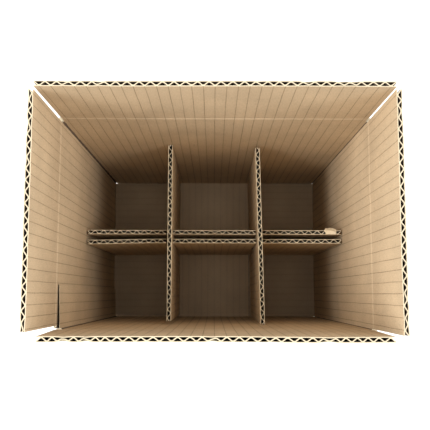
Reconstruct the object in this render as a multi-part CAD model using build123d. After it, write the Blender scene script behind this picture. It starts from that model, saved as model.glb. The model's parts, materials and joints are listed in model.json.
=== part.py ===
from build123d import *
from math import copysign, cos, radians, sin
import os

# Shipping box for six bottles, standing open: a slotted box folded from one corrugated sheet,
# with four top flaps upright and a loose set of four corrugated dividers that makes six cells.
# Frame: origin at the middle of the underside, X along the long side, Y to the back, Z up. mm.

os.makedirs("parts", exist_ok=True)

# ---- Driving dimensions ----------------------------------------------------------------------
inner_length = 250.0        # X, between the side walls
inner_width = 168.5         # Y, between the front and back walls
fold_height = 314.0         # from the floor to the fold of the front and back top flaps
top_flap_seam = 4.5         # between the free edges of the front and back flaps when closed
glue_tab_width = 35.0       # tab of the front wall, glued inside the left wall

board = 4.0                 # thickness of the corrugated board
liner = 0.4                 # thickness of each flat facing
medium = 0.35               # thickness of the fluted paper
flute_pitch = 8.0           # crest to crest
flute_tip_radius = 0.7      # inside radius at a crest

# Slots between the flaps: how far each flap stops short of the corner at its two ends.
back_flap_slots = (1.2, 1.2)       # left end, right end
front_flap_slots = (0.8, 0.8)      # left end, right end, at the fold
front_flap_taper = (7.7, 5.7)      # how much more its left and right ends give at the free edge
left_flap_slots = (2.6, 1.2)       # front end, back end
right_flap_slots = (0.6, 0.6)      # front end, back end
front_bottom_slots = (1.0, 1.0)    # left end, right end; the other bottom slots match the top

# Dividers
long_divider_height = 193.0
long_divider_end_gap = 2.0         # to each side wall
long_divider_pair_gap = 5.7        # clear space between the two long dividers
long_divider_pair_middle = -1.55   # Y of the middle of the pair
cross_divider_height = 220.0
cross_divider_spare = 3.5          # how much shorter than the inside of the box
cross_divider_wall_gap = 0.4       # at the end that sits against a wall
cross_divider_foot = 46.0          # distance of each foot from the middle of the box, in X
cross_divider_lean = 0.9           # degrees, tops pinched together
right_divider_skew = 1.4           # degrees about Z, the right divider only
cross_slot_play = 1.5              # slot in a cross divider, wider than the board it straddles
long_slot_play = 2.6               # slot in a long divider, wider than the leaning board in it

# ---- Clearances ------------------------------------------------------------------------------
fold_clearance = 0.15              # each side of a top fold
closed_flap_clearance = 0.2        # between the closed end flaps and the closed long flaps
floor_seam = 1.0                   # between the two long bottom flaps
slot_overlap = 2.0                 # spare depth where two divider slots meet
crush = 1.2                        # board left without flutes beside a vertical edge

# ---- Derived places --------------------------------------------------------------------------
half_length = inner_length / 2
half_width = inner_width / 2
top_flap_length = half_width + board - top_flap_seam / 2   # fold to free edge
end_flap_reach = top_flap_length - board              # end flaps of the bottom, from the wall
floor_z = 2 * board                                   # two layers of flaps make the floor
long_fold_z = floor_z + fold_height                   # folds of the front and back flaps
end_fold_z = long_fold_z - board - closed_flap_clearance   # folds of the left and right flaps
wall_top_z = end_fold_z - board - fold_clearance      # where the walls' flutes end
slot_level_z = floor_z + long_divider_height / 2      # where crossing dividers meet
long_divider_pair_spacing = board + long_divider_pair_gap
cross_divider_length = inner_width - cross_divider_spare
cross_slot_width = board + cross_slot_play
long_slot_width = board + long_slot_play


# ---- Corrugated board ------------------------------------------------------------------------
def flute_hollow():
    """Outline of one hollow: its base on the far facing, its round tip at the near one."""
    height = board - 2 * liner
    half_base = 0.48 * flute_pitch
    corners = [(-half_base, board - liner), (0, board - liner - height + medium), (half_base, board - liner)]
    outline = make_face(Polyline(*corners, close=True))
    tip = outline.vertices().sort_by(Axis.Y)[0]
    return fillet(tip, flute_tip_radius).wire()


HOLLOW_UP = flute_hollow()
HOLLOW_DOWN = HOLLOW_UP.moved(Location((0, board, 0), (0, 0, 180)))


def flute_run(width):
    """Hollows of a board from x = 0 to width, with its faces at y = 0 and y = board."""
    half_pitch = flute_pitch / 2
    count = int((width - 2 * crush) / half_pitch) - 1
    first = (width - (count - 1) * half_pitch) / 2
    kinds = (HOLLOW_UP, HOLLOW_DOWN)
    return [kinds[i % 2].moved(Location((first + i * half_pitch, 0, 0))) for i in range(count)]


def fluted_panel(width, run):
    """Board from x = 0 to width and y = 0 to board, with its flutes along z from 0 to run."""
    outline = Polyline((0, 0), (width, 0), (width, board), (0, board), close=True)
    section = Face(Wire(outline.edges()), flute_run(width))
    return Solid.extrude(section, Vector(0, 0, run))


def prism(points, along):
    """Solid bar: a closed outline of points, swept by the vector along."""
    return Solid.extrude(make_face(Polyline(*points, close=True)).face(), Vector(*along))


def fold_round(centre, across, along):
    """Quarter-round bar of one board's radius: the outside of a bottom fold."""
    middle = centre + Vector(*across) * board * cos(radians(45)) - Vector(0, 0, board * sin(radians(45)))
    side = centre + Vector(*across) * board
    under = centre - Vector(0, 0, board)
    outline = Wire([Edge.make_line(centre, side), Edge.make_three_point_arc(side, middle, under),
                    Edge.make_line(under, centre)])
    return Solid.extrude(Face(outline), Vector(*along))


# ---- Walls -----------------------------------------------------------------------------------
def wall_outline():
    """Outer edge of the walls in plan, with the raw end of the sheet at the front left corner."""
    x, y = half_length, half_width
    corner_starts = [(x, -y - board, -90), (x + board, y, 0), (-x, y + board, 90)]
    ends = [(x + board, -y), (x, y + board), (-x - board, y)]
    centres = [(x, -y), (x, y), (-x, y)]
    edges = []
    last = Vector(-x + board, -y - board)
    for start, end, centre in zip(corner_starts, ends, centres):
        begin = Vector(start[0], start[1])
        turn = radians(start[2] + 45)
        middle = Vector(*centre) + Vector(cos(turn), sin(turn)) * board
        edges.append(Edge.make_line(last, begin))
        edges.append(Edge.make_three_point_arc(begin, middle, Vector(*end)))
        last = Vector(*end)
    raw_end = Vector(-x - board, -y)
    tab_fold = Vector(-x, -y)
    tab_middle = Vector(-x + board, -y) + Vector(cos(radians(225)), sin(radians(225))) * board
    edges.append(Edge.make_line(last, raw_end))
    edges.append(Edge.make_line(raw_end, tab_fold))
    edges.append(Edge.make_three_point_arc(tab_fold, tab_middle, Vector(-x + board, -y - board)))
    return Wire(edges)


def wall_hollows():
    """Flute hollows of the four walls and the glue tab, in plan."""
    x, y = half_length, half_width
    runs = [
        ((-x, y), 0, inner_length),                    # back
        ((x, -y), 180, inner_length - board),          # front
        ((x, y), -90, inner_width),                    # right
        ((-x, -y), 90, inner_width),                   # left
        ((-x + board, -y), 90, glue_tab_width),        # glue tab
    ]
    hollows = []
    for (corner_x, corner_y), turn, width in runs:
        place = Location((corner_x, corner_y, 0), (0, 0, turn))
        hollows += [hollow.moved(place) for hollow in flute_run(width)]
    return hollows


def walls():
    """Four walls and glue tab, standing from the end folds up to the top folds."""
    x, y = half_length, half_width
    tab_x = -x + board
    tab_y = -y + glue_tab_width
    inside = Polyline((tab_x, -y), (x, -y), (x, y), (-x, y), (-x, tab_y), (tab_x, tab_y), close=True)
    section = Face(wall_outline(), [Wire(inside.edges())] + wall_hollows())
    return Solid.extrude(section, Vector(0, 0, wall_top_z - floor_z)).moved(Location((0, 0, floor_z)))


def top_rims():
    """Upper edge of the walls, mitred inside so that each flap can fold flat."""
    x, y = half_length, half_width
    long_tip = long_fold_z - fold_clearance
    end_tip = end_fold_z - fold_clearance
    rims = []
    for side in (1, -1):
        inner, outer = side * y, side * (y + board)
        start = -x if side > 0 else -x + board
        long_rim = [(start, outer, wall_top_z), (start, outer, long_tip),
                    (start, inner, long_tip - board), (start, inner, wall_top_z)]
        rims.append(prism(long_rim, (x - start, 0, 0)))
        inner, outer = side * x, side * (x + board)
        end_rim = [(outer, -y, wall_top_z), (outer, -y, end_tip), (inner, -y, wall_top_z)]
        rims.append(prism(end_rim, (0, inner_width, 0)))
    return rims


# ---- Bottom ----------------------------------------------------------------------------------
def long_bottom_flaps():
    """Front and back bottom flaps: the lower layer of the floor, with their folds."""
    run = half_width - floor_seam / 2
    pieces = []
    for side, slots in ((-1, front_bottom_slots), (1, back_flap_slots)):
        left = -half_length + slots[0]
        right = half_length - slots[1]
        y = side * half_width
        flap = fluted_panel(right - left, run)
        start = left if side < 0 else right
        frame = Plane(origin=(start, y, board), x_dir=(-side, 0, 0), z_dir=(0, -side, 0))
        pieces.append(flap.moved(frame.location))
        pieces.append(fold_round(Vector(left, y, board), (0, side, 0), (right - left, 0, 0)))
        wall_foot = [(-half_length, y, board), (-half_length, y + side * board, board),
                     (-half_length, y + side * board, floor_z), (-half_length, y, floor_z)]
        pieces.append(prism(wall_foot, (inner_length, 0, 0)))
    return pieces


def end_bottom_flaps():
    """Left and right bottom flaps: the upper layer of the floor, glued to the lower one."""
    pieces = []
    for side, slots in ((-1, left_flap_slots), (1, right_flap_slots)):
        front = -half_width + slots[0]
        back = half_width - slots[1]
        x = side * half_length
        flap = fluted_panel(back - front, end_flap_reach)
        start = back if side < 0 else front
        frame = Plane(origin=(x, start, floor_z), x_dir=(0, side, 0), z_dir=(-side, 0, 0))
        pieces.append(flap.moved(frame.location))
        pieces.append(fold_round(Vector(x, front, floor_z), (side, 0, 0), (0, back - front, 0)))
    return pieces


def box_body():
    """Walls, glue tab and closed bottom: one folded and glued sheet."""
    return walls().fuse(*top_rims(), *long_bottom_flaps(), *end_bottom_flaps())


# ---- Top flaps -------------------------------------------------------------------------------
def top_flap(width):
    """Upright flap, outer face at y = board, fold line at z = 0, mitred inside the fold."""
    foot = fold_clearance + board
    mitre = prism([(0, board, fold_clearance), (0, board, foot), (0, 0, foot)], (width, 0, 0))
    panel = fluted_panel(width, top_flap_length - foot)
    return mitre.fuse(panel.moved(Location((0, 0, foot))))


def long_top_flap(side, slots, taper=(0, 0)):
    """Front (side -1) or back (side 1) top flap, its ends cut in by taper at the free edge."""
    left = -half_length + slots[0]
    right = half_length - slots[1]
    start = left if side > 0 else right
    frame = Plane(origin=(start, side * half_width, long_fold_z), x_dir=(side, 0, 0), z_dir=(0, 0, 1))
    flap = top_flap(right - left).moved(frame.location)
    foot_z = long_fold_z + fold_clearance + board
    rise = long_fold_z + top_flap_length - foot_z
    near = min(side * half_width, side * (half_width + board)) - 1
    wedges = []
    for end, lean in ((left, taper[0]), (right, -taper[1])):
        if lean:
            out = end - copysign(2, lean)
            past = end + lean * (rise + 1) / rise
            outline = [(end, near, foot_z), (past, near, foot_z + rise + 1),
                       (out, near, foot_z + rise + 1), (out, near, foot_z)]
            wedges.append(prism(outline, (0, board + 2, 0)))
    return flap.cut(*wedges) if wedges else flap


def end_top_flap(side, slots):
    """Left (side -1) or right (side 1) top flap."""
    front = -half_width + slots[0]
    back = half_width - slots[1]
    start = front if side < 0 else back
    frame = Plane(origin=(side * half_length, start, end_fold_z), x_dir=(0, -side, 0), z_dir=(0, 0, 1))
    return top_flap(back - front).moved(frame.location)


# ---- Dividers --------------------------------------------------------------------------------
def slot(x, y, width_x, width_y, low, high):
    """Block that cuts a slot through an upright board."""
    block = Solid.make_box(width_x, width_y, high - low)
    return block.moved(Location((x - width_x / 2, y - width_y / 2, low)))


def long_divider(middle_y):
    """Divider along X, with a slot open at its top around each cross divider."""
    length = inner_length - 2 * long_divider_end_gap
    panel = fluted_panel(length, long_divider_height)
    panel = panel.moved(Location((-length / 2, middle_y - board / 2, floor_z)))
    top = floor_z + long_divider_height
    low = slot_level_z - slot_overlap / 2
    slots = []
    for side in (-1, 1):
        x = cross_middle_x(side, (slot_level_z + top) / 2) - side * cross_skew_shift(side, middle_y)
        slots.append(slot(x, middle_y, long_slot_width, 2 * board, low, top + board))
    return panel.cut(*slots)


def cross_middle_x(side, z):
    """X of the middle of a leaning cross divider at height z."""
    return side * (cross_divider_foot - sin(radians(cross_divider_lean)) * (z - floor_z))


def cross_skew_shift(side, y):
    """How far the skew brings the right divider's middle towards the box's middle, at y."""
    return sin(radians(right_divider_skew)) * y if side > 0 else 0


def cross_divider(side):
    """Divider along Y, with two slots open at its foot over the long dividers."""
    end = half_width - cross_divider_wall_gap
    middle_y = -side * (end - cross_divider_length / 2)
    panel = fluted_panel(cross_divider_length, cross_divider_height)
    frame = Plane(origin=(board / 2, -cross_divider_length / 2, 0), x_dir=(0, 1, 0), z_dir=(0, 0, 1))
    panel = panel.moved(frame.location)
    slots = []
    for long_side in (-1, 1):
        y = long_divider_pair_middle + long_side * long_divider_pair_spacing / 2 - middle_y
        high = slot_level_z + slot_overlap / 2 - floor_z
        slots.append(slot(0, y, 3 * board, cross_slot_width, -board, high))
    panel = panel.cut(*slots)
    foot_lift = board / 2 * sin(radians(cross_divider_lean))
    skew = right_divider_skew if side > 0 else 0
    turned = panel.moved(Location((0, 0, 0), (0, -side * cross_divider_lean, 0)))
    return turned.moved(Location((side * cross_divider_foot, middle_y, floor_z + foot_lift), (0, 0, skew)))


# ---- Pieces ----------------------------------------------------------------------------------
pieces = {
    "box_body": box_body(),
    "top_flap_back": long_top_flap(1, back_flap_slots),
    "top_flap_front": long_top_flap(-1, front_flap_slots, front_flap_taper),
    "top_flap_left": end_top_flap(-1, left_flap_slots),
    "top_flap_right": end_top_flap(1, right_flap_slots),
    "long_divider_back": long_divider(long_divider_pair_middle + long_divider_pair_spacing / 2),
    "long_divider_front": long_divider(long_divider_pair_middle - long_divider_pair_spacing / 2),
    "cross_divider_left": cross_divider(-1),
    "cross_divider_right": cross_divider(1),
}

for name, solid in pieces.items():
    export_step(solid, f"parts/{name}.step")
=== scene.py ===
import json
import math

import bpy
import numpy as np
from mathutils import Matrix, Vector


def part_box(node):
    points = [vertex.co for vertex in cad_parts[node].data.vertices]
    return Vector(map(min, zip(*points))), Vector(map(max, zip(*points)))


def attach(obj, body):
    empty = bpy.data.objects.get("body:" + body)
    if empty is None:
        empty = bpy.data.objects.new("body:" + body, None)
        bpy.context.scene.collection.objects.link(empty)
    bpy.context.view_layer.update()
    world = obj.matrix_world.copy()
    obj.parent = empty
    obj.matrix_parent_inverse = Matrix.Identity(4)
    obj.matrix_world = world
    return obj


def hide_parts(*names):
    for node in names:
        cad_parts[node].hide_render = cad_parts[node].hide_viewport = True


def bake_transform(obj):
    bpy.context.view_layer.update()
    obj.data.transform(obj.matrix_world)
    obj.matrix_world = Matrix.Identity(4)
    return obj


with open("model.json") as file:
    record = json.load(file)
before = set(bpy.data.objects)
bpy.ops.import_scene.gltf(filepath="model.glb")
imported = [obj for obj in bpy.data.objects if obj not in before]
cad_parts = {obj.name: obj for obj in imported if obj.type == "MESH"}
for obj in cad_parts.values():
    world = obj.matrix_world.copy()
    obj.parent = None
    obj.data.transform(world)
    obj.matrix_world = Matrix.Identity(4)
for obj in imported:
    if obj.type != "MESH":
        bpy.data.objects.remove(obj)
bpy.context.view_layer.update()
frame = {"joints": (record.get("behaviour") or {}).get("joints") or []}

bl_info = {
    "name": "Bottle Carton",
    "version": (1, 0, 0),
    "blender": (4, 5, 0),
    "location": "View3D > Sidebar > Carton",
    "description": "Corrugated bottle carton with open flaps and nested dividers",
    "category": "Object",
}

MM = 0.001
BASE_BODY = "box"
FOLDS = {joint["child"]: Vector(joint["pos_m"]) for joint in frame["joints"]}
BODY_LOW, BODY_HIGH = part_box("box_body")
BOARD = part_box("top_flap_left")[1].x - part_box("top_flap_left")[0].x
INNER_X = BODY_HIGH.x - BOARD
INNER_Y = BODY_HIGH.y - BOARD
FLOOR_Z = 2 * BOARD
LONG_FOLD_Z = FOLDS["back_flap"].z
END_FOLD_Z = FOLDS["left_flap"].z
FOLD_REACH = BOARD                 # how far a top fold's bend reaches up and down
CORNER_RADIUS = 0.5 * MM           # inside radius of a folded corner
CORNER_CUT = 4.0 * MM              # how far the slots at the corners reach below the end folds
TAB_CUT = 12.0 * MM                # the same beside the glue tab
NO_CREASE = 1.0                    # moves a board's own coordinate away from the crease marks
FEED_SPACING = 1.7 * MM            # between the feed marks above a fold
GLUE_LINE = 0.42 * MM              # width of a line where a flute is glued on
EDGE_ROWS = (9, 6, 4, 2.5, 1.2, 0.5)       # rows of points below a cut edge, in mm from it
TAPER_RUN = 60 * MM                # how far from an end a flap's flutes lean with it
CRUSH_FADE = 6 * MM                # depth below the cut edge at which a crushed spot has mostly recovered
CREASE_GAP = 1.2 * MM              # from a fold to the groove on each side of it
CREASE_WIDTH = 0.55 * MM           # width of that groove
CREASE_RIDGE = 0.6 * MM            # width of the ridge along the fold
BOARD_MAP = "board"
FACING, CUT, SHADED_FLUTING, OUTSIDE = 0, 1, 2, 3      # material slots of every board
FINISHES = {
    # kind of board: its facing, cut edge, fluting (a dark colour that is painted shade of the flute channels)
    # and outer facing
    "box": ("kraft_facing", "cut_edge", "shaded_fluting", "kraft_outside"),
    "divider": ("kraft_divider", "cut_edge_pale_highlight", "shaded_fluting", "kraft_divider"),
    "floor_end_shaded": ("kraft_floor_end_shaded", "cut_edge", "shaded_fluting", "kraft_outside"),
    "floor_long": ("kraft_floor_long", "cut_edge", "shaded_fluting", "kraft_outside"),
}


# ---- Settings --------------------------------------------------------------------------------
def length(name, text, default):
    """Property for a length in metres."""
    return bpy.props.FloatProperty(name=name, description=text, default=default, unit="LENGTH", precision=5)


def angle(name, text, degrees):
    """Property for an angle."""
    return bpy.props.FloatProperty(name=name, description=text, default=math.radians(degrees),
                                   subtype="ANGLE")


def scalar(name, text, default):
    """Property for a plain amount that isn't below 0."""
    return bpy.props.FloatProperty(name=name, description=text, default=default, min=0)


def tint(name, text, default):
    """Property for a colour."""
    return bpy.props.FloatVectorProperty(
        name=name, description=text, default=default, size=3, min=0, max=1, subtype="COLOR")


class CARTON_PG_board(bpy.types.PropertyGroup):
    """Sizes of the corrugated board that are finer than the frame gives."""

    pitch: length("Flute pitch", "Distance from crest to crest", 8.0 * MM)
    facing: length("Facing", "Thickness of each flat facing", 0.60 * MM)
    fluting: length("Fluting", "Thickness of the fluted paper", 0.78 * MM)
    groove: length("Glue groove", "Depth of the groove over each line of glue", 0.04 * MM)
    crease: length("Crease depth", "Depth of the two grooves beside a crease", 0.35 * MM)
    warp: length("Warp", "How far a board bows out of flat", 0.15 * MM)
    ragged: length("Ragged edge", "Unevenness of a cut edge", 0.12 * MM)
    divider_gauge: scalar("Divider gauge", "Thickness of a divider's papers as a share of the box's", 0.66)


class CARTON_PG_dividers(bpy.types.PropertyGroup):
    """Places of the dividers that a box round them doesn't give."""

    cross_foot: length("Foot distance", "From the middle of the box to the foot of a cross divider", 46 * MM)
    lean: angle("Lean", "Lean of the cross dividers towards each other", 0.9)
    skew: angle("Skew", "Turn of the right cross divider seen from above", 1.4)
    cross_length: length("Cross length", "Length of a cross divider", 165 * MM)
    cross_height: length("Cross height", "Height of a cross divider", 220 * MM)
    cross_wall_gap: length("Wall gap", "Gap between a cross divider's end and the wall it sits against",
                           0.4 * MM)
    cross_slot: length("Cross slot", "Width of the slots in a cross divider", 6.4 * MM)
    front_shift: length("Front shift", "How far the front long divider bends to the back", 1.1 * MM)
    left_inset: length("Left inset", "How far the left cross divider is pushed in along its slots", 0.8 * MM)
    long_slot: length("Long slot", "Width of the slots in a long divider", 6.6 * MM)
    slot_level: scalar("Slot level", "Share of a long divider's height where the slots meet", 0.5)


class CARTON_PG_finish(bpy.types.PropertyGroup):
    """Colours of the papers."""

    kraft: tint("Kraft", "Facing paper", (0.64, 0.492, 0.318))
    outside: tint("Outer kraft", "Outer facing of the box", (0.50, 0.372, 0.235))
    # Colour of the glue lines and feed marks, and of the painted shade on the ribs and beside the creases.
    kraft_dark_and_shade: tint("Kraft marks", "Glue lines and creases", (0.16, 0.095, 0.05))
    # Painted highlight: pale colour on the ridge along each crease, standing in for the light it catches.
    kraft_highlight: tint("Kraft rubbed", "Rubbed ridges of the facing paper", (0.76, 0.64, 0.46))
    cut: tint("Cut edge", "Cut edge of the paper", (0.60, 0.51, 0.355))
    # Partly the paler colour of cut fibres and partly painted highlight, where the dividers' top edges face
    # the light.
    cut_pale_highlight: tint("Divider edge", "Cut edge of a divider", (0.96, 0.82, 0.58))
    # Painted shade: the end bottom flaps floor the side cells and take a darker copy of the kraft for the
    # shade there; the long ones floor the middle cell near the plain kraft.
    floor_end_shaded: tint("End bottom flaps", "Facing of the end flaps of the bottom", (0.47, 0.35, 0.22))
    floor_long: tint("Long bottom flaps", "Facing of the long flaps of the bottom", (0.66, 0.50, 0.325))
    # Painted shade: fluting paper is as brown as the kraft; this dark colour stands in for the shade deep in
    # the flute channels.
    fluting: tint("Fluting", "Fluted paper", (0.15, 0.11, 0.08))


class CARTON_PG_stage(bpy.types.PropertyGroup):
    """Camera, lights and floor."""

    lens: bpy.props.FloatProperty(
        name="Lens", description="Focal length on a 36 mm sensor", default=56.08, min=10, unit="CAMERA")
    place: bpy.props.FloatVectorProperty(
        name="Camera place", description="Where the camera stands", size=3, subtype="XYZ", unit="LENGTH",
        default=(-0.83 * MM, -56.65 * MM, 850.76 * MM))
    tilt: angle("Tilt", "Lean of the camera from straight down towards the back", 6.747)
    pan: angle("Pan", "Small sideways turn of the camera", -0.119)
    roll: angle("Roll", "Turn of the camera about its line of sight", 0.135)
    left_power: scalar("Left light", "Power of the soft light on the left", 42.0)
    right_power: scalar("Right light", "Power of the soft light on the right", 25.0)
    top_power: scalar("Top light", "Power of the light straight above", 3.0)
    sky: scalar("Sky", "Strength of the even light all round", 0.95)
    floor: tint("Floor", "Colour of the floor", (0.93, 0.93, 0.93))


class CARTON_PG_settings(bpy.types.PropertyGroup):
    """All settings of the carton."""

    board: bpy.props.PointerProperty(type=CARTON_PG_board)
    dividers: bpy.props.PointerProperty(type=CARTON_PG_dividers)
    finish: bpy.props.PointerProperty(type=CARTON_PG_finish)
    stage: bpy.props.PointerProperty(type=CARTON_PG_stage)


def settings():
    return bpy.context.scene.carton


# ---- Node helpers ----------------------------------------------------------------------------
def add_node(tree, kind, **values):
    """A node whose properties are set from lower-case names, and inputs from a dict called inputs."""
    node = tree.nodes.new(kind)
    inputs = values.pop("inputs", {})
    for key, value in values.items():
        setattr(node, key, value)
    for key, value in inputs.items():
        node.inputs[key].default_value = value
    return node


def math_node(tree, operation, first, second=None, third=None, clamp=False):
    """Math node on sockets or numbers; gives its output socket."""
    node = add_node(tree, "ShaderNodeMath", operation=operation, use_clamp=clamp)
    for slot, value in enumerate((first, second, third)):
        if value is None:
            continue
        if isinstance(value, bpy.types.NodeSocket):
            tree.links.new(value, node.inputs[slot])
        else:
            node.inputs[slot].default_value = value
    return node.outputs[0]


def times(tree, first, second):
    return math_node(tree, "MULTIPLY", first, second)


def minus(tree, first, second, clamp=False):
    return math_node(tree, "SUBTRACT", first, second, clamp=clamp)


def stretched(tree, vector, scale):
    """The vector with each axis scaled."""
    node = add_node(tree, "ShaderNodeMapping", inputs={"Scale": scale})
    tree.links.new(vector, node.inputs["Vector"])
    return node.outputs["Vector"]


def mix_colour(tree, factor, first, second):
    """Mix Color node on sockets or colours; gives its output socket."""
    node = add_node(tree, "ShaderNodeMix", data_type="RGBA")
    for name, value in (("Factor", factor), ("A", first), ("B", second)):
        socket = next(s for s in node.inputs if s.name == name and s.enabled)
        if isinstance(value, bpy.types.NodeSocket):
            tree.links.new(value, socket)
        elif name == "Factor":
            socket.default_value = value
        else:
            socket.default_value = (*value, 1.0)
    return next(s for s in node.outputs if s.enabled)


def new_group(name, inputs, outputs):
    """Empty shader group with named sockets: each is (name, socket type, default or None)."""
    group = bpy.data.node_groups.new(name, "ShaderNodeTree")
    for label, kind, value in inputs:
        socket = group.interface.new_socket(name=label, in_out="INPUT", socket_type=kind)
        if value is not None:
            socket.default_value = value
    for label, kind in outputs:
        group.interface.new_socket(name=label, in_out="OUTPUT", socket_type=kind)
    return group, group.nodes.new("NodeGroupInput"), group.nodes.new("NodeGroupOutput")


def bell(tree, value, centre, width):
    """Mask that is 1 where value is centre and falls to 0 at width away."""
    away = math_node(tree, "ABSOLUTE", minus(tree, value, centre))
    return minus(tree, 1.0, math_node(tree, "DIVIDE", away, width), clamp=True)


def noise(tree, vector, scale, detail=2.0, roughness=0.5):
    node = add_node(tree, "ShaderNodeTexNoise",
                    inputs={"Scale": scale, "Detail": detail, "Roughness": roughness})
    tree.links.new(vector, node.inputs["Vector"])
    return node.outputs["Fac"]


# ---- Paper finishes --------------------------------------------------------------------------
def paper_grain_group():
    """Fibres, flecks and cloudy tone of unbleached paper, from a place in space."""
    group, given, result = new_group(
        "Paper Grain",
        [("Vector", "NodeSocketVector", None), ("Colour", "NodeSocketColor", (0.6, 0.45, 0.3, 1)),
         ("Strength", "NodeSocketFloat", 1.0)],
        [("Colour", "NodeSocketColor"), ("Height", "NodeSocketFloat")])
    place = given.outputs["Vector"]
    cloud = minus(group, noise(group, place, 28.0, 3.0), 0.5)
    fibre = noise(group, stretched(group, place, (1.0, 1.0, 0.18)), 1500.0, 3.0, 0.65)
    fleck = times(group, minus(group, noise(group, place, 620.0, 1.0), 0.66, clamp=True), 5.0)
    dark_fleck = math_node(group, "MINIMUM", fleck, 1.0)
    tone = math_node(group, "ADD", times(group, cloud, 0.34), times(group, minus(group, fibre, 0.5), 0.42))
    tone = minus(group, tone, times(group, dark_fleck, 0.30))
    tone = math_node(group, "MULTIPLY_ADD", tone, given.outputs["Strength"], 1.0)
    toned = add_node(group, "ShaderNodeVectorMath", operation="SCALE")
    group.links.new(given.outputs["Colour"], toned.inputs[0])
    group.links.new(tone, toned.inputs["Scale"])
    group.links.new(toned.outputs[0], result.inputs["Colour"])
    group.links.new(fibre, result.inputs["Height"])
    return group


def glue_lines_group():
    """Thin broken lines where the flutes are glued on, and painted shade that follows the ribs between them,
    from the coordinate across the flutes.
    """
    group, given, result = new_group(
        "Glue Lines",
        [("Across", "NodeSocketFloat", 0.0), ("Along", "NodeSocketFloat", 0.0),
         ("Pitch", "NodeSocketFloat", 0.008), ("Width", "NodeSocketFloat", 0.0005)],
        [("Line", "NodeSocketFloat"), ("Rib Shade", "NodeSocketFloat")])
    across = math_node(group, "DIVIDE", given.outputs["Across"], given.outputs["Pitch"])
    place = add_node(group, "ShaderNodeCombineXYZ")
    group.links.new(across, place.inputs["X"])
    group.links.new(given.outputs["Along"], place.inputs["Y"])
    place = place.outputs[0]
    wander = times(group, minus(group, noise(group, stretched(group, place, (0.7, 26.0, 1.0)), 1.0), 0.5),
                   0.10)
    whole = math_node(group, "ADD", across, wander)
    nearest = math_node(group, "ABSOLUTE", minus(group, whole, math_node(group, "ROUND", whole)))
    away = math_node(group, "DIVIDE", times(group, nearest, given.outputs["Pitch"]),
                     times(group, given.outputs["Width"], 0.62))
    line = minus(group, 1.6, away, clamp=True)
    dash = noise(group, stretched(group, place, (2.0, 420.0, 1.0)), 1.0, 1.0)
    dash = math_node(group, "MULTIPLY_ADD", dash, 2.2, -0.35, clamp=True)
    fade = noise(group, stretched(group, place, (0.9, 14.0, 1.0)), 1.0, 1.0)
    fade = math_node(group, "MULTIPLY_ADD", fade, 1.2, 0.20, clamp=True)
    group.links.new(times(group, times(group, line, dash), fade), result.inputs["Line"])
    # Painted shade: faint darkening across each flute pitch that stands in for the shading of the washboard
    # ribs.
    rib_shade = math_node(group, "COSINE", times(group, whole, 2 * math.pi))
    group.links.new(math_node(group, "MULTIPLY_ADD", rib_shade, 0.5, 0.5), result.inputs["Rib Shade"])
    return group


def crease_group():
    """Two fine lines of painted shade beside the fold with a band of painted highlight between them, from the
    distance to the fold.
    """
    group, given, result = new_group(
        "Crease", [("Along", "NodeSocketFloat", 1.0)],
        [("Groove Shade", "NodeSocketFloat"), ("Ridge Highlight", "NodeSocketFloat"), ("Feed Marks", "NodeSocketFloat")])
    along = given.outputs["Along"]
    away = math_node(group, "ABSOLUTE", along)
    groove_shade = bell(group, away, 0.95 * MM, 0.45 * MM)
    ridge_highlight = bell(group, away, 0.0, 0.75 * MM)
    group.links.new(groove_shade, result.inputs["Groove Shade"])
    group.links.new(ridge_highlight, result.inputs["Ridge Highlight"])
    near = bell(group, along, 8 * MM, 34 * MM)
    wave = math_node(group, "SINE", times(group, along, 2 * math.pi / FEED_SPACING))
    marks = times(group, math_node(group, "MULTIPLY_ADD", wave, 0.5, 0.5), near)
    group.links.new(marks, result.inputs["Feed Marks"])
    return group


def group_node(tree, group):
    node = tree.nodes.new("ShaderNodeGroup")
    node.node_tree = group
    return node


def paper_material(name, grain, colour, strength, roughness, bump):
    """Plain paper with grain; gives the material, its tree, the shader and the grain node."""
    material = bpy.data.materials.new(name)
    material.use_nodes = True
    tree = material.node_tree
    shader = tree.nodes["Principled BSDF"]
    shader.inputs["Roughness"].default_value = roughness
    shader.inputs["Specular IOR Level"].default_value = 0.25
    place = add_node(tree, "ShaderNodeTexCoord")
    paper = group_node(tree, grain)
    paper.inputs["Colour"].default_value = (*colour, 1)
    paper.inputs["Strength"].default_value = strength
    tree.links.new(place.outputs["Object"], paper.inputs["Vector"])
    relief = add_node(tree, "ShaderNodeBump", inputs={"Strength": bump, "Distance": 0.1 * MM})
    tree.links.new(paper.outputs["Height"], relief.inputs["Height"])
    tree.links.new(relief.outputs["Normal"], shader.inputs["Normal"])
    tree.links.new(paper.outputs["Colour"], shader.inputs["Base Color"])
    return material, tree, shader, paper


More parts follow.
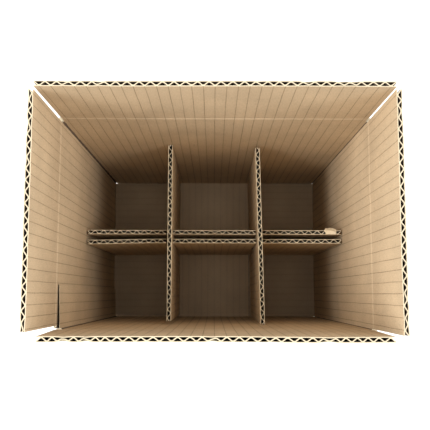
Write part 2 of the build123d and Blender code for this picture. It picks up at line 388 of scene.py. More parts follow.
def kraft_facing(name, groups, kraft, lines):
    """Flat facing paper: glue lines of strength lines across the board, feed marks, and painted shade and a
    painted highlight along the crease at the folds.
    """
    finish = settings().finish
    material, tree, shader, paper = paper_material(name, groups["grain"], kraft, 1.0, 0.86, 0.35)
    board_map = add_node(tree, "ShaderNodeUVMap", uv_map=BOARD_MAP)
    parts = add_node(tree, "ShaderNodeSeparateXYZ")
    tree.links.new(board_map.outputs[0], parts.inputs[0])
    glue = group_node(tree, groups["lines"])
    glue.inputs["Pitch"].default_value = settings().board.pitch
    glue.inputs["Width"].default_value = GLUE_LINE
    tree.links.new(parts.outputs["X"], glue.inputs["Across"])
    tree.links.new(parts.outputs["Y"], glue.inputs["Along"])
    fold = group_node(tree, groups["crease"])
    tree.links.new(parts.outputs["Y"], fold.inputs["Along"])
    colour = paper.outputs["Colour"]
    # The rib and groove masks paint shade and the ridge mask a highlight; the glue lines and feed marks are
    # marks of the paper.
    masks = ((glue.outputs["Rib Shade"], 0.035, finish.kraft_dark_and_shade),
             (fold.outputs["Feed Marks"], 0.14, finish.kraft_dark_and_shade),
             (glue.outputs["Line"], lines, finish.kraft_dark_and_shade),
             (fold.outputs["Groove Shade"], 0.20, finish.kraft_dark_and_shade),
             (fold.outputs["Ridge Highlight"], 0.14, finish.kraft_highlight))
    for mask, share, mark in masks:
        colour = mix_colour(tree, times(tree, mask, share), colour, mark)
    tree.links.new(colour, shader.inputs["Base Color"])
    return material


def make_finishes(kind="box"):
    """The three papers of a board: its facing, its cut edge and its fluting, whose dark colour is painted
    shade of the flute channels.
    """
    names = FINISHES[kind]
    if "shaded_fluting" not in bpy.data.materials:
        finish = settings().finish
        groups = {"grain": paper_grain_group(), "lines": glue_lines_group(), "crease": crease_group()}
        facings = {"facing": (finish.kraft, 0.80), "outside": (finish.outside, 0.30),
                   "divider": (finish.kraft, 0.55),
                   "floor_end_shaded": (finish.floor_end_shaded, 0.25), "floor_long": (finish.floor_long, 0.25)}
        for name, (paper, lines) in facings.items():
            kraft_facing(f"kraft_{name}", groups, paper, lines)
        paper_material("cut_edge", groups["grain"], finish.cut, 0.7, 0.95, 0.6)
        # The divider's cut edge is partly painted highlight.
        paper_material("cut_edge_pale_highlight", groups["grain"], finish.cut_pale_highlight, 0.7, 0.95, 0.6)
        # Painted shade: the fluting takes a dark colour for the shade in the flute channels.
        paper_material("shaded_fluting", groups["grain"], finish.fluting, 0.9, 0.92, 0.4)
    return [bpy.data.materials[name] for name in names]


# ---- Corrugated board ------------------------------------------------------------------------
def wobble(x, seed, wavelength, amount):
    """Smooth random curve through x, from -amount to amount or so."""
    draw = np.random.RandomState(seed)
    total = np.zeros_like(x)
    for _ in range(4):
        period = wavelength * draw.uniform(0.6, 1.7)
        total += np.sin(2 * np.pi * x / period + draw.uniform(0, 2 * np.pi))
    return total * amount / 2.2


def spread(low, high, step, extra=()):
    """Even places from low to high, no further apart than step, with extra ones between them."""
    count = max(1, int(math.ceil((high - low) / step)))
    places = [low + (high - low) * i / count for i in range(count + 1)]
    places += [value for value in extra if low < value < high]
    return np.unique(np.round(places, 7))


class Board:
    """One flat board: where it is, how far it reaches, and how its edges are worn."""

    def __init__(self, name, place, across, rows, seed, low=None, high=None, crush=(), steps=(),
                 fold=None, thickness=BOARD, along_shift=0.0, worn_end=1, warp=1.0, recess=0.0,
                 kind="box", gauge=1.0):
        self.name = name
        self.kind = kind                 # which finishes it takes
        self.facing_paper = settings().board.facing * gauge
        self.fluted_paper = settings().board.fluting * gauge
        self.place = place               # gives a point for (across, height in the board, along)
        self.across = across             # lowest and highest coordinate across the flutes
        self.rows = np.array(rows, float)
        self.seed = seed
        self.low = low                   # gives the lowest row at a place across, or None
        self.high = high
        self.crush = crush               # (place across, half width, depth) of each crushed spot
        self.steps = steps               # places across where low or high jumps
        self.fold = fold                 # along coordinate of a crease, or None
        self.thickness = thickness
        self.along_shift = along_shift   # turns along into the crease coordinate
        self.worn_end = worn_end         # 1: the last row is a cut edge, 0: none
        self.warp = warp
        self.recess = recess             # how far the fluting stops short of the cut edge

    def crushed(self, u, from_end):
        """How much thinner the board is, near its cut edge."""
        total = np.zeros_like(u + from_end)
        for spot, width, depth in self.crush:
            total += depth * np.exp(-((u - spot) / width) ** 2) * np.exp(-from_end / CRUSH_FADE)
        return total * self.worn_end

    def bow(self, u, v):
        """How far the board stands out of flat."""
        size = settings().board.warp * self.warp
        start, end = self.rows[0], self.rows[-1]
        share = np.clip((v - start) / (end - start), 0, 1)
        rise = share * share if self.worn_end and self.fold is not None else np.sin(np.pi * share)
        middle = (self.across[0] + self.across[1]) / 2
        half = (self.across[1] - self.across[0]) / 2
        wide = np.cos((u - middle) / half * np.pi / 2) if self.fold is None else 1.0
        return rise * wide * (wobble(u, self.seed + 7, 0.16, size) - 2 * size)

    def columns(self, fine):
        """Places across: close together at the glue lines, and doubled where the outline jumps."""
        pitch = settings().board.pitch
        first = int(math.floor(self.across[0] / pitch)) - 1
        last = int(math.ceil(self.across[1] / pitch)) + 1
        marks = [(k + share) * pitch for k in range(first, last) for share in fine]
        marks += [step + side for step in self.steps for side in (-0.004 * MM, 0.004 * MM)]
        ends = [self.across[0], self.across[1]]
        inside = [mark for mark in marks if self.across[0] + 0.05 * MM < mark < self.across[1] - 0.05 * MM]
        return np.array(sorted(ends + inside))

    def grid(self, u_values):
        """Coordinates (across, along) of the rows at every column, fitted to the outline."""
        u, v = np.meshgrid(u_values, self.rows, indexing="ij")
        start, end = self.rows[0], self.rows[-1]
        share = (v - start) / (end - start)
        low = np.array([self.low(x) if self.low else start for x in u_values])[:, None]
        high = np.array([self.high(x) if self.high else end for x in u_values])[:, None]
        plain = (low == start) & (high == end)
        return u, np.where(plain, v, low + share * (high - low)), high

    def crease_dip(self, v):
        """Depth of the two grooves beside the fold, and the ridge between them."""
        if self.fold is None:
            return np.zeros_like(v)
        away = np.abs(v - self.fold)
        groove = np.exp(-((away - CREASE_GAP) / CREASE_WIDTH) ** 2)
        return settings().board.crease * (groove - 0.35 * np.exp(-(away / CREASE_RIDGE) ** 2))

    def facing(self, side):
        """Flat facing: side 0 is the inner one, side 1 the outer one."""
        board = settings().board
        shift = side * board.pitch / 2
        fine = [0.5 * side + share for share in (-0.32, -0.15, -0.045, 0.0, 0.045, 0.15, 0.32, 0.5)]
        u_values = self.columns(fine)
        u, v, high = self.grid(u_values)
        to_glue = np.abs((u - shift) / board.pitch - np.round((u - shift) / board.pitch)) * board.pitch
        groove = board.groove * np.exp(-(to_glue / (0.4 * MM)) ** 2)
        from_end = np.maximum(high - v, 0)
        crushed = self.crushed(u, from_end)
        uneven = (wobble(u, self.seed + 11 + side, 0.013, 0.03 * MM) * np.exp(-from_end / (5 * MM))
                  * self.worn_end)
        inward = (groove + self.crease_dip(v) * (1.0 if side == 0 else 0.6)
                  + crushed * (0.20 if side == 0 else 0.45))
        if side == 0:
            height = self.facing_paper / 2 + inward + uneven
        else:
            height = self.thickness - self.facing_paper / 2 - inward - np.abs(uneven) - 0.02 * MM
        edge = np.exp(-from_end / (0.5 * MM)) * self.worn_end
        draw = np.random.RandomState(self.seed + 3 + side)
        jag = wobble(u, self.seed + 5 + side, 0.006, board.ragged)
        jag += draw.uniform(-1, 1, u_values.size)[:, None] * board.ragged * 0.5
        height = height + self.bow(u, v)
        return self.sheet(f"{self.name}_facing{side}", u, height,
                          v - (np.abs(jag) + side * self.recess) * edge,
                          self.facing_paper, OUTSIDE if side else FACING, u - shift)

    def fluting(self):
        """Fluted paper between the facings, uneven near its cut edge."""
        board = settings().board
        u_values = self.columns([i / 12 for i in range(12)])
        u, v, high = self.grid(u_values)
        from_end = np.maximum(high - v, 0)
        near = np.exp(-from_end / (7 * MM)) * self.worn_end
        drift = wobble(u, self.seed + 17, 0.020, 0.20) * near + wobble(u, self.seed + 19, 0.05, 0.08)
        wave = np.sin(2 * np.pi * u / board.pitch - np.pi / 2 + drift)
        shape = np.clip(1.5 * np.arcsin(wave) / (np.pi / 2), -1, 1)
        crushed = self.crushed(u, from_end) + self.crease_dip(v) * 1.2
        reach = np.maximum((self.thickness - 2 * self.facing_paper - self.fluted_paper * 0.8 - crushed) / 2,
                           0.1 * MM)
        middle = self.thickness / 2 + 0.1 * self.crushed(u, from_end)
        height = middle + shape * reach + self.bow(u, v)
        edge = np.exp(-from_end / (0.8 * MM)) * self.worn_end
        back = (np.abs(wobble(u, self.seed + 23, 0.009, 0.12 * MM)) + 0.05 * MM + self.recess) * edge
        return self.sheet(f"{self.name}_fluting", u, height, v - back, self.fluted_paper, SHADED_FLUTING, u)

    def sheet(self, name, u, height, v, thickness, finish, across):
        """A grid bent to the given places, then thickened into a sheet of paper."""
        columns, rows = u.shape
        bpy.ops.object.select_all(action="DESELECT")
        bpy.ops.mesh.primitive_grid_add(x_subdivisions=columns - 1, y_subdivisions=rows - 1, size=1)
        sheet = bpy.context.object
        sheet.name = name
        mesh = sheet.data
        flat = np.zeros(len(mesh.vertices) * 3)
        mesh.vertices.foreach_get("co", flat)
        flat = flat.reshape(-1, 3)
        i = np.rint((flat[:, 0] + 0.5) * (columns - 1)).astype(int)
        j = np.rint((flat[:, 1] + 0.5) * (rows - 1)).astype(int)
        points = self.place(u[i, j], height[i, j], v[i, j])
        mesh.vertices.foreach_set("co", points.ravel())
        corner = np.zeros(len(mesh.loops), int)
        mesh.loops.foreach_get("vertex_index", corner)
        along = v - self.along_shift
        coords = np.stack([across[i, j][corner], along[i, j][corner]], axis=1)
        mesh.uv_layers[0].name = BOARD_MAP
        mesh.uv_layers[0].data.foreach_set("uv", coords.ravel())
        for material in make_finishes(self.kind):
            mesh.materials.append(material)
        mesh.update()
        # The facing's side towards the flutes takes the dark fluting colour, painted shade inside the flute
        # channels.
        first, shell = finish, finish
        if finish in (FACING, OUTSIDE):
            face = mesh.polygons[0]
            middle = self.place(u[:1, 0], np.full(1, self.thickness / 2), v[:1, 0])[0]
            inward = face.normal.dot(Vector(middle) - mesh.vertices[face.vertices[0]].co) > 0
            first, shell = (SHADED_FLUTING, finish) if inward else (finish, SHADED_FLUTING)
        mesh.polygons.foreach_set("material_index", np.full(len(mesh.polygons), first))
        thicken(sheet, thickness, shell - first, CUT - first)
        bpy.ops.object.shade_smooth_by_angle(angle=math.radians(35))
        return sheet

    def build(self):
        """The two facings and the fluting, joined into one piece."""
        return join([self.facing(0), self.facing(1), self.fluting()], self.name)


def thicken(sheet, thickness, shell_offset, rim_offset):
    """Solidify evenly to both sides; the far side and the rim take their own finish."""
    solid = sheet.modifiers.new("thickness", "SOLIDIFY")
    solid.thickness = thickness
    solid.offset = 0
    solid.material_offset = shell_offset
    solid.material_offset_rim = rim_offset
    bpy.context.view_layer.objects.active = sheet
    bpy.ops.object.modifier_apply(modifier=solid.name)


def join(parts, name):
    """Joins meshes into the first one and names it."""
    bpy.ops.object.select_all(action="DESELECT")
    for part in parts:
        part.select_set(True)
    bpy.context.view_layer.objects.active = parts[0]
    if len(parts) > 1:
        bpy.ops.object.join()
    piece = bpy.context.view_layer.objects.active
    piece.name = name
    piece.data.name = name
    return piece


# ---- Places of the boards --------------------------------------------------------------------
SIDES = {
    # name: across, outward, distance of the inner face, height of the top fold
    "back": ((1, 0, 0), (0, 1, 0), INNER_Y, LONG_FOLD_Z),
    "front": ((1, 0, 0), (0, -1, 0), INNER_Y, LONG_FOLD_Z),
    "left": ((0, 1, 0), (-1, 0, 0), INNER_X, END_FOLD_Z),
    "right": ((0, 1, 0), (1, 0, 0), INNER_X, END_FOLD_Z),
}
HALF_ACROSS = {"back": INNER_X, "front": INNER_X, "left": INNER_Y, "right": INNER_Y}


def upright(side):
    """Place function of a wall or an upright flap: along is the height above the ground."""
    across, outward, distance, _ = SIDES[side]
    across, outward = np.array(across), np.array(outward)

    def place(u, n, v):
        points = u[:, None] * across + (distance + n)[:, None] * outward
        points[:, 2] = v
        return points

    return place


def folded_under(side, inner_z):
    """Place function of a bottom flap: down the wall, round its fold and in under the box."""
    across, outward, distance, _ = SIDES[side]
    across, outward = np.array(across), np.array(outward)
    arc = CORNER_RADIUS + BOARD
    centre_z = inner_z + CORNER_RADIUS

    def place(u, n, v):
        turn = np.clip(v / arc, 0, 1) * np.pi / 2
        radius = n + CORNER_RADIUS
        out = -CORNER_RADIUS + radius * np.cos(turn) - np.maximum(v - arc, 0)
        points = u[:, None] * across + (distance + out)[:, None] * outward
        points[:, 2] = centre_z - radius * np.sin(turn) + np.maximum(-v, 0)
        return points

    return place


def flap_reach(side):
    """Lowest and highest place across of a top flap, from its node."""
    low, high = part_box(f"top_flap_{side}")
    return (low.x, high.x) if side in ("back", "front") else (low.y, high.y)


def tapered(place, reach, lean, foot, top):
    """Place function of an upright flap whose two ends lean in by lean from foot to top."""
    def leaning(u, n, v):
        share = np.clip((v - foot) / (top - foot), 0, 1)
        left = np.clip(1 - (u - reach[0]) / TAPER_RUN, 0, 1)
        right = np.clip(1 - (reach[1] - u) / TAPER_RUN, 0, 1)
        return place(u + share * (left * lean[0] - right * lean[1]), n, v)

    return leaning


def fold_rows(middle):
    """Rows close together about a crease."""
    offsets = (-4, -3.1, -2.3, -1.75, -1.45, -1.2, -0.95, -0.6, -0.3, 0,
               0.3, 0.6, 0.95, 1.2, 1.45, 1.75, 2.3, 3.1, 4)
    return [middle + offset * MM for offset in offsets]


# ---- Pieces ----------------------------------------------------------------------------------
CRUSHED = {
    # place across, half width, depth, in mm
    "back": [(-102, 4, 0.8), (-78.8, 3.5, 0.9), (-17, 3, 0.4), (30, 3, 0.5), (62.6, 4, 1.0), (85, 3.5, 1.0),
             (93.7, 4, 1.1)],
    "front": [(-103.6, 4, 1.6), (-86.6, 3.5, 1.4), (-45, 3, 0.5), (-1.2, 3, 1.2), (38, 3, 0.5),
              (75.5, 5, 1.3)],
    "left": [(77, 5, 1.0), (58.4, 4, 1.3), (34, 3.5, 1.0), (-22, 3, 0.5), (-78, 4, 1.2)],
    "right": [(67.6, 4, 1.0), (20, 3, 0.5), (-58, 4, 1.2), (-74.5, 5, 1.2)],
    "long_divider_back": [(2, 5, 0.9), (-60, 3, 0.3), (75, 4, 0.4)],
    "long_divider_front": [(-90, 4, 0.4), (12, 4, 0.3), (98, 4, 0.5)],
    "cross_divider_left": [(60, 3, 0.3), (-20, 3, 0.3), (-70, 4, 0.4)],
    "cross_divider_right": [(40, 3, 0.3), (-45, 4, 0.3), (-77, 3, 0.5)],
}
SEEDS = {"back": 100, "front": 200, "left": 300, "right": 400}


def crushed_spots(name):
    return [(place * MM, width * MM, depth * MM) for place, width, depth in CRUSHED[name]]


def finish_piece(piece, body, nodes=()):
    """Hands a finished piece to the frame."""
    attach(piece, body)
    if nodes:
        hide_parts(*nodes)
    return piece


class CARTON_OT_walls(bpy.types.Operator):
    """Four walls with their folded corners"""

    bl_idname = "carton.walls"
    bl_label = "Walls"

    def execute(self, context):
        parts = [wall(side) for side in SIDES]
        parts += corner_folds()
        piece = join(parts, "box_walls")
        finish_piece(piece, BASE_BODY, ["box_body"])
        return {"FINISHED"}


def wall_ends(side):
    """Where a wall's flat part starts and ends, across."""
    half = HALF_ACROSS[side] - CORNER_RADIUS
    if side == "front":
        return -half + BOARD, half
    if side == "left":
        return -HALF_ACROSS[side], half
    return -half, half


def wall(side):
    """One wall, between its bottom fold and its top fold."""
    reach = flap_reach(side)
    fold_z = SIDES[side][3]
    inner_z = BOARD if side in ("back", "front") else FLOOR_Z
    top, cut_top = fold_z - FOLD_REACH, END_FOLD_Z - CORNER_CUT
    bottom, cut_bottom = inner_z + BOARD, inner_z
    ends = wall_ends(side)
    steps = [place for place in reach if ends[0] < place < ends[1]]

    def high(x):
        if side == "left" and x < reach[0]:
            return END_FOLD_Z - TAB_CUT
        return top if reach[0] <= x <= reach[1] else min(cut_top, top)

    def low(x):
        return bottom if side == "front" or reach[0] <= x <= reach[1] else cut_bottom

    rows = spread(bottom, top, 0.05)
    return Board(f"wall_{side}", upright(side), ends, rows, SEEDS[side], low=low, high=high, steps=steps,
                 along_shift=fold_z, worn_end=0, warp=0.0).build()


def corner_folds():
    """Upright folds between the walls: a tight inner turn and a round outer one."""
    corners = {
        # name: corner of the fold, start angle
        "front_right": (INNER_X, -INNER_Y, -90),
        "back_right": (INNER_X, INNER_Y, 0),
        "back_left": (-INNER_X, INNER_Y, 90),
        "front_left": (-INNER_X + BOARD, -INNER_Y, 180),
    }
    parts = []
    board = settings().board
    for number, (name, (x, y, start)) in enumerate(corners.items()):
        centre = np.array([x - math.copysign(CORNER_RADIUS, x), y - math.copysign(CORNER_RADIUS, y)])

        def place(u, n, v, centre=centre, start=start):
            turn = np.radians(start) + u
            radius = CORNER_RADIUS + n
            return np.stack([centre[0] + radius * np.cos(turn), centre[1] + radius * np.sin(turn), v], axis=1)

        low, high = FLOOR_Z, END_FOLD_Z - CORNER_CUT
        u, v = np.meshgrid(np.linspace(0, np.pi / 2, 9), np.linspace(low, high, 7), indexing="ij")
        shell = Board(f"corner_{name}", place, (0, np.pi / 2), v[0], 500 + number, along_shift=END_FOLD_Z)
        # Painted shade: the innermost layer takes the dark fluting colour, which darkens the inside of each
        # corner.
        layers = ((board.facing / 2, board.facing, SHADED_FLUTING),
                  (BOARD - board.facing / 2, board.facing, OUTSIDE),
                  (BOARD / 2, BOARD - 2 * board.facing, FACING))
        for layer, (height, thickness, finish) in enumerate(layers):
            parts.append(shell.sheet(f"corner_{name}_{layer}", u, np.full_like(u, height), v, thickness,
                                     finish, u * 0 + board.pitch / 2))
    return parts


class CARTON_OT_glue_tab(bpy.types.Operator):
    """Glue tab of the front wall, pressed flat inside the left wall"""

    bl_idname = "carton.glue_tab"
    bl_label = "Glue Tab"

    width: length("Width", "Width of the tab", 35 * MM)
    thickness: length("Thickness", "Thickness left after pressing", 2.3 * MM)
    recess: length("Recess", "How far the fluting stops short at the top", 5.0 * MM)
    gauge: scalar("Gauge", "Thickness of the pressed papers as a share of the box's", 0.45)
    front_lift: scalar("Front lift", "How far the tab stands off at the front, in thicknesses", 1.15)
    lift_loss: scalar("Lift loss", "How much of that is gone at the rear edge", 0.55)

    def execute(self, context):
        thickness = self.thickness

        def place(u, n, v):
            share = np.clip((u + INNER_Y) / self.width, 0, 1)
            ragged = wobble(u, 611, 0.006, 0.10 * MM) * np.clip((v - END_FOLD_Z) / (12 * MM) + 1, 0, 1)
            lift = self.front_lift - self.lift_loss * share
            return np.stack([-INNER_X + (thickness - n) * lift + ragged, u, v], axis=1)

        top = END_FOLD_Z - BOARD - 0.4 * MM
        rows = spread(FLOOR_Z, top, 0.05, [top - 12 * MM, top - 6 * MM, top - 3 * MM, top - 1 * MM])
        low_y = -INNER_Y + CORNER_RADIUS
        tab = Board("glue_tab", place, (low_y, -INNER_Y + self.width), rows, 610, thickness=thickness,
                    along_shift=END_FOLD_Z, warp=0.0, recess=self.recess, gauge=self.gauge)
        finish_piece(tab.build(), BASE_BODY)
        return {"FINISHED"}


class CARTON_OT_bottom_flaps(bpy.types.Operator):
    """Four bottom flaps: the long pair below, the end pair above"""

    bl_idname = "carton.bottom_flaps"
    bl_label = "Bottom Flaps"

    seam: length("Seam", "Gap between the long flaps", 1.0 * MM)
    end_reach: length("End reach", "Reach of the end flaps", 82 * MM)
    front_slot: length("Front slot", "How far the front flap stops short of the corners", 0.3 * MM)

    def execute(self, context):
        arc = CORNER_RADIUS + BOARD
        for side in SIDES:
            is_long = side in ("back", "front")
            inner_z = BOARD if is_long else FLOOR_Z
            run = INNER_Y - self.seam / 2 if is_long else self.end_reach
            end = arc + run - CORNER_RADIUS
            rows = [-BOARD + CORNER_RADIUS, -2 * MM, -1 * MM] + [arc * i / 8 for i in range(9)]
            rows += list(spread(arc, end, 0.02, [end - 6 * MM, end - 3 * MM, end - 1 * MM]))
            reach = ((-INNER_X + self.front_slot, INNER_X - self.front_slot) if side == "front"
                     else flap_reach(side))
            # The end flaps take the darker kraft, painted shade of the side cells.
            flap = Board(f"bottom_flap_{side}", folded_under(side, inner_z), reach, np.unique(rows),
                         SEEDS[side] + 40, crush=[(0.03, 4 * MM, 0.8 * MM)], along_shift=0.0, warp=0.0,
                         kind="floor_long" if is_long else "floor_end_shaded")
            finish_piece(flap.build(), BASE_BODY)
        return {"FINISHED"}


class CARTON_OT_top_flaps(bpy.types.Operator):
    """Four top flaps, each standing up from its wall at a crease"""

    bl_idname = "carton.top_flaps"
    bl_label = "Top Flaps"

    front_taper: bpy.props.FloatVectorProperty(
        name="Front taper", description="How much the front flap's two ends lean in by its free edge", size=2,
        default=(7.7 * MM, 5.7 * MM), unit="LENGTH", precision=4)

    def execute(self, context):
        for side, (_, _, _, fold_z) in SIDES.items():
            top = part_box(f"top_flap_{side}")[1].z
            rows = fold_rows(fold_z)
            rows += list(spread(fold_z + FOLD_REACH, top, 0.012, [top - below * MM for below in EDGE_ROWS]))
            place = tapered(upright(side), flap_reach(side), self.front_taper if side == "front" else (0, 0),
                            fold_z + FOLD_REACH, top)
            flap = Board(f"flap_{side}", place, flap_reach(side), np.unique(np.round(rows, 7)),
                         SEEDS[side] + 60, crush=crushed_spots(side), fold=fold_z, along_shift=fold_z)
            piece = flap.build()
            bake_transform(piece)
            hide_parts(f"top_flap_{side}")
        return {"FINISHED"}


class CARTON_OT_long_dividers(bpy.types.Operator):
    """Two dividers along the box, slotted from the top"""

    bl_idname = "carton.long_dividers"
    bl_label = "Long Dividers"

    def execute(self, context):
        sizes = settings().dividers
        for number, name in enumerate(("back", "front")):
            node = f"long_divider_{name}"
            low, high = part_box(node)
            level = low.z + (high.z - low.z) * sizes.slot_level - 1 * MM
            slots = [cross_middle_x(side, (level + high.z) / 2, (low.y + high.y) / 2) for side in (-1, 1)]
            half = sizes.long_slot / 2
            shift = sizes.front_shift if name == "front" else 0.0

            def place(u, n, v, y=low.y, shift=shift):
                bend = np.clip((u + INNER_X) / (70 * MM), 0, 1)
                return np.stack([u, y + n + shift * bend * bend * (3 - 2 * bend), v], axis=1)

            def top(x, slots=slots, level=level, high=high.z):
                return level if any(abs(x - slot) < half for slot in slots) else high

            piece = divider(node, place, (low.x, high.x), (low.z, high.z), 700 + 30 * number, slots, half,
                            high=top)
            finish_piece(piece, BASE_BODY, [node])
        return {"FINISHED"}


def divider(node, place, across, along, seed, slots, half, **outline):
    """Divider board with slots of half width half; outline gives its low or high."""
    rows = spread(*along, 0.03, [along[1] - below * MM for below in EDGE_ROWS])
    steps = [slot + edge for slot in slots for edge in (-half, half)]
    return Board(node, place, across, rows, seed, steps=steps, crush=crushed_spots(node),
                 along_shift=NO_CREASE, kind="divider", gauge=settings().board.divider_gauge,
                 **outline).build()


def cross_middle_x(side, z, y):
    """X of the middle of a cross divider at height z and depth y."""
    sizes = settings().dividers
    skewed = math.sin(sizes.skew) * y if side > 0 else 0
    return side * (sizes.cross_foot - math.sin(sizes.lean) * (z - FLOOR_Z)) - skewed


class CARTON_OT_cross_dividers(bpy.types.Operator):
    """Two taller dividers across the box, slotted from below and leaning a little"""

    bl_idname = "carton.cross_dividers"
    bl_label = "Cross Dividers"

    def execute(self, context):
        sizes = settings().dividers
        half_length = sizes.cross_length / 2
        long_low, long_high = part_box("long_divider_back")
        level = (long_high.z - long_low.z) * sizes.slot_level + 1 * MM
        for side, name in ((-1, "left"), (1, "right")):
            node = f"cross_divider_{name}"
            middle_y = -side * (INNER_Y - sizes.cross_wall_gap - half_length)
            slots = []
            for long_name in ("back", "front"):
                low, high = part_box(f"long_divider_{long_name}")
                slots.append((low.y + high.y) / 2 - middle_y)
            half = sizes.cross_slot / 2

            def place(u, n, v, side=side):
                return np.stack([side * (BOARD / 2 - n), u, v], axis=1)

            def foot(y, slots=slots):
                return level if any(abs(y - slot) < half for slot in slots) else 0.0

            piece = divider(node, place, (-half_length, half_length), (0.0, sizes.cross_height),
                            800 + 30 * side, slots, half, low=foot)
            lift = BOARD / 2 * math.sin(sizes.lean)
            lean = Matrix.Rotation(-side * sizes.lean, 4, "Y")
            skew = Matrix.Rotation(sizes.skew if side > 0 else 0.0, 4, "Z")
            inset = sizes.left_inset if side < 0 else 0.0
            stand = Matrix.Translation((side * (sizes.cross_foot - inset), middle_y, FLOOR_Z + lift))
            piece.data.transform(stand @ skew @ lean)
            finish_piece(piece, BASE_BODY, [node])
        return {"FINISHED"}


class CARTON_OT_torn_chip(bpy.types.Operator):
    """Scrap of facing paper torn up and folded over the back long divider"""

    bl_idname = "carton.torn_chip"
    bl_label = "Torn Chip"

    place_x: length("Place", "Place along the divider", 113 * MM)
    size: length("Size", "Width of the scrap", 11.5 * MM)

    def execute(self, context):
        low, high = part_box("long_divider_back")
        middle_y = (low.y + high.y) / 2

        def place(u, n, v):
            turn = np.clip((v + 2.6 * MM) / (3.2 * MM), -0.6, 1.3)
            bent = np.maximum(turn, 0)
            spill = np.maximum(v - 1.6 * MM, 0)
            out = np.where(turn > 0, np.sin(bent) * 2.6 * MM, turn * 3.2 * MM) + spill * 0.55
            rise = n + 0.5 * MM - (1 - np.cos(bent)) * 2.4 * MM - spill * 0.7
            return np.stack([self.place_x + u, middle_y + out, high.z + rise], axis=1)

        half = self.size / 2
        u, v = np.meshgrid(np.linspace(-half, half, 15), np.linspace(-4.6 * MM, 5.2 * MM, 15), indexing="ij")
        pinch = 1 - 0.35 * np.clip(v / (5.2 * MM), -0.6, 1) ** 2
        edge = wobble(v, 905, 0.007, 0.8 * MM) * (np.abs(u) / half)
        lift = wobble(u + 2 * v, 907, 0.012, 0.35 * MM)
        scrap = Board("torn_chip", place, (-half, half), v[0], 900, kind="divider")
        across = u * pinch + edge
        # The scrap takes the divider's cut edge colour, which is partly painted highlight.
        piece = scrap.sheet("torn_chip", across, lift, v + wobble(u, 909, 0.006, 0.5 * MM), 0.35 * MM,
                            CUT, across)
        finish_piece(piece, BASE_BODY)
        return {"FINISHED"}


class CARTON_OT_marks(bpy.types.Operator):
    """Pinched paper up the back left corner, a nick in the left flap and a spot on the back wall"""

    bl_idname = "carton.marks"
    bl_label = "Marks"

    pinch: length("Pinch", "Width of the pinched paper in the corner", 1.7 * MM)

    def execute(self, context):
        corner = np.array([-INNER_X, INNER_Y])
        diagonal, outward = np.array([1, 1]) / math.sqrt(2), np.array([1, -1]) / math.sqrt(2)

        def in_corner(u, n, v):
            flat = corner + u[:, None] * diagonal + (1.0 * MM + n)[:, None] * outward
            return np.stack([flat[:, 0], flat[:, 1], v], axis=1)

        rows = spread(FLOOR_Z + 6 * MM, END_FOLD_Z - CORNER_CUT, 0.004)
        u, v = np.meshgrid(np.linspace(-0.5, 0.5, 3) * self.pinch, rows, indexing="ij")
        ragged = wobble(v, 921, 0.011, 0.12 * MM) + wobble(v, 922, 0.03, 0.15 * MM)
        strip = Board("pinched_corner", in_corner, (-1, 1), rows, 920)
        piece = strip.sheet("pinched_corner", u + ragged * np.sign(u), ragged, v, 0.3 * MM, FACING,
                            u * 0 + settings().board.pitch / 2)
        finish_piece(piece, BASE_BODY)

        # Painted shade: the nick is a thin sheet in the dark fluting colour that stands in for the shade
        # inside the torn fold.
        nick = fleck("nick", "left", (-29.4 * MM, 371 * MM), (3.2 * MM, 0.9 * MM))
        finish_piece(nick, "left_flap")
        spot = fleck("spot", "back", (-19.5 * MM, 226 * MM), (1.1 * MM, 1.3 * MM))
        finish_piece(spot, BASE_BODY)
        return {"FINISHED"}


def fleck(name, side, middle, size):
    """Thin dark sheet on the inner face of a wall or flap: painted shade for the torn nick, a fleck for the
    spot.
    """
    u, v = np.meshgrid(np.linspace(-0.5, 0.5, 9) * size[0], np.linspace(-0.5, 0.5, 7) * size[1],
                       indexing="ij")
    v = v * np.sqrt(np.maximum(1 - (2 * u / size[0]) ** 2, 0.02)) + wobble(u, 931, 0.004, 0.1 * MM)
    mark = Board(name, upright(side), (-1, 1), v[0], 930)
    height = np.full_like(u, -0.05 * MM)
    return mark.sheet(name, middle[0] + u, height, middle[1] + v, 0.08 * MM, SHADED_FLUTING, u)


# ---- Stage -----------------------------------------------------------------------------------
class CARTON_OT_stage(bpy.types.Operator):
    """Pale floor, soft light from above and the camera"""

    bl_idname = "carton.stage"
    bl_label = "Stage"

    def execute(self, context):
        context.scene.view_settings.view_transform = "Standard"
        make_floor()
        make_lights()
        make_camera()
        return {"FINISHED"}


def make_floor():
    """Large pale floor just under the carton."""
    bpy.ops.object.select_all(action="DESELECT")
    bpy.ops.mesh.primitive_circle_add(vertices=96, radius=4.0, fill_type="NGON", location=(0, 0, 0))
    floor = bpy.context.object
    floor.name = "floor"
    material = bpy.data.materials.new("floor_paper")
    material.use_nodes = True
    tree = material.node_tree
    shader = tree.nodes["Principled BSDF"]
    shader.inputs["Roughness"].default_value = 0.9
    place = add_node(tree, "ShaderNodeTexCoord")
    tone = times(tree, noise(tree, place.outputs["Object"], 6.0), 0.02)
    colour = mix_colour(tree, tone, settings().stage.floor, (0.8, 0.8, 0.8))
    tree.links.new(colour, shader.inputs["Base Color"])
    floor.data.materials.append(material)


def make_lights():
    """Even white sky, a large soft light on each side, and a small one overhead."""
    stage = settings().stage
    world = bpy.data.worlds.new("studio")
    world.use_nodes = True
    world.node_tree.nodes["Background"].inputs["Color"].default_value = (1, 1, 1, 1)
    world.node_tree.nodes["Background"].inputs["Strength"].default_value = stage.sky
    bpy.context.scene.world = world
    soft_light("left_light", (-1.5, -0.30, 1.75), 1.3, stage.left_power)
    soft_light("right_light", (1.5, -0.30, 1.75), 1.3, stage.right_power)
    soft_light("top_light", (0.0, -0.1, 2.4), 0.8, stage.top_power)


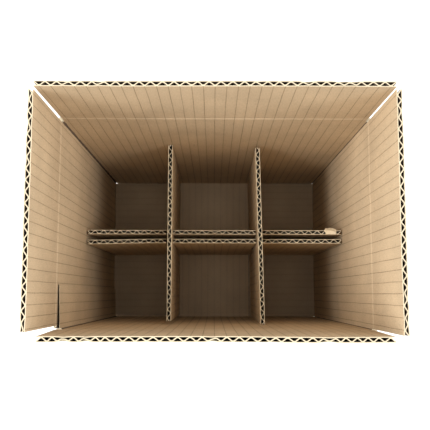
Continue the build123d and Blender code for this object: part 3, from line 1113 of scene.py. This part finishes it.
def soft_light(name, place, size, power):
    """Round soft light aimed at the carton."""
    bpy.ops.object.light_add(type="AREA", location=place)
    light = bpy.context.object
    light.name = name
    light.data.shape = "DISK"
    light.data.size = size
    light.data.energy = power
    aim = Vector((0, 0, 0.3)) - light.location
    light.rotation_euler = aim.to_track_quat("-Z", "Y").to_euler()


def make_camera():
    """Camera almost straight above, leaning to the back."""
    stage = settings().stage
    data = bpy.data.cameras.new("camera")
    data.lens = stage.lens
    data.sensor_width = 36
    data.clip_start = 0.01
    camera = bpy.data.objects.new("camera", data)
    bpy.context.collection.objects.link(camera)
    camera.location = stage.place
    camera.rotation_mode = "ZYX"
    camera.rotation_euler = (stage.tilt, stage.pan, stage.roll)
    bpy.context.scene.camera = camera


# ---- Panel and start -------------------------------------------------------------------------
class CARTON_PT_panel(bpy.types.Panel):
    """Buttons that build the carton's pieces"""

    bl_idname = "CARTON_PT_panel"
    bl_label = "Carton"
    bl_space_type = "VIEW_3D"
    bl_region_type = "UI"
    bl_category = "Carton"

    def draw(self, context):
        for operator in OPERATORS:
            self.layout.operator(operator.bl_idname)


OPERATORS = (
    CARTON_OT_walls,
    CARTON_OT_glue_tab,
    CARTON_OT_bottom_flaps,
    CARTON_OT_top_flaps,
    CARTON_OT_long_dividers,
    CARTON_OT_cross_dividers,
    CARTON_OT_torn_chip,
    CARTON_OT_marks,
    CARTON_OT_stage,
)
GROUPS = (CARTON_PG_board, CARTON_PG_dividers, CARTON_PG_finish, CARTON_PG_stage, CARTON_PG_settings)


def register():
    for item in GROUPS + OPERATORS + (CARTON_PT_panel,):
        bpy.utils.register_class(item)
    bpy.types.Scene.carton = bpy.props.PointerProperty(type=CARTON_PG_settings)


def unregister():
    del bpy.types.Scene.carton
    for item in reversed(GROUPS + OPERATORS + (CARTON_PT_panel,)):
        bpy.utils.unregister_class(item)


def main():
    register()
    for operator in OPERATORS:
        group, name = operator.bl_idname.split(".")
        getattr(getattr(bpy.ops, group), name)()


if __name__ == "__main__":
    main()
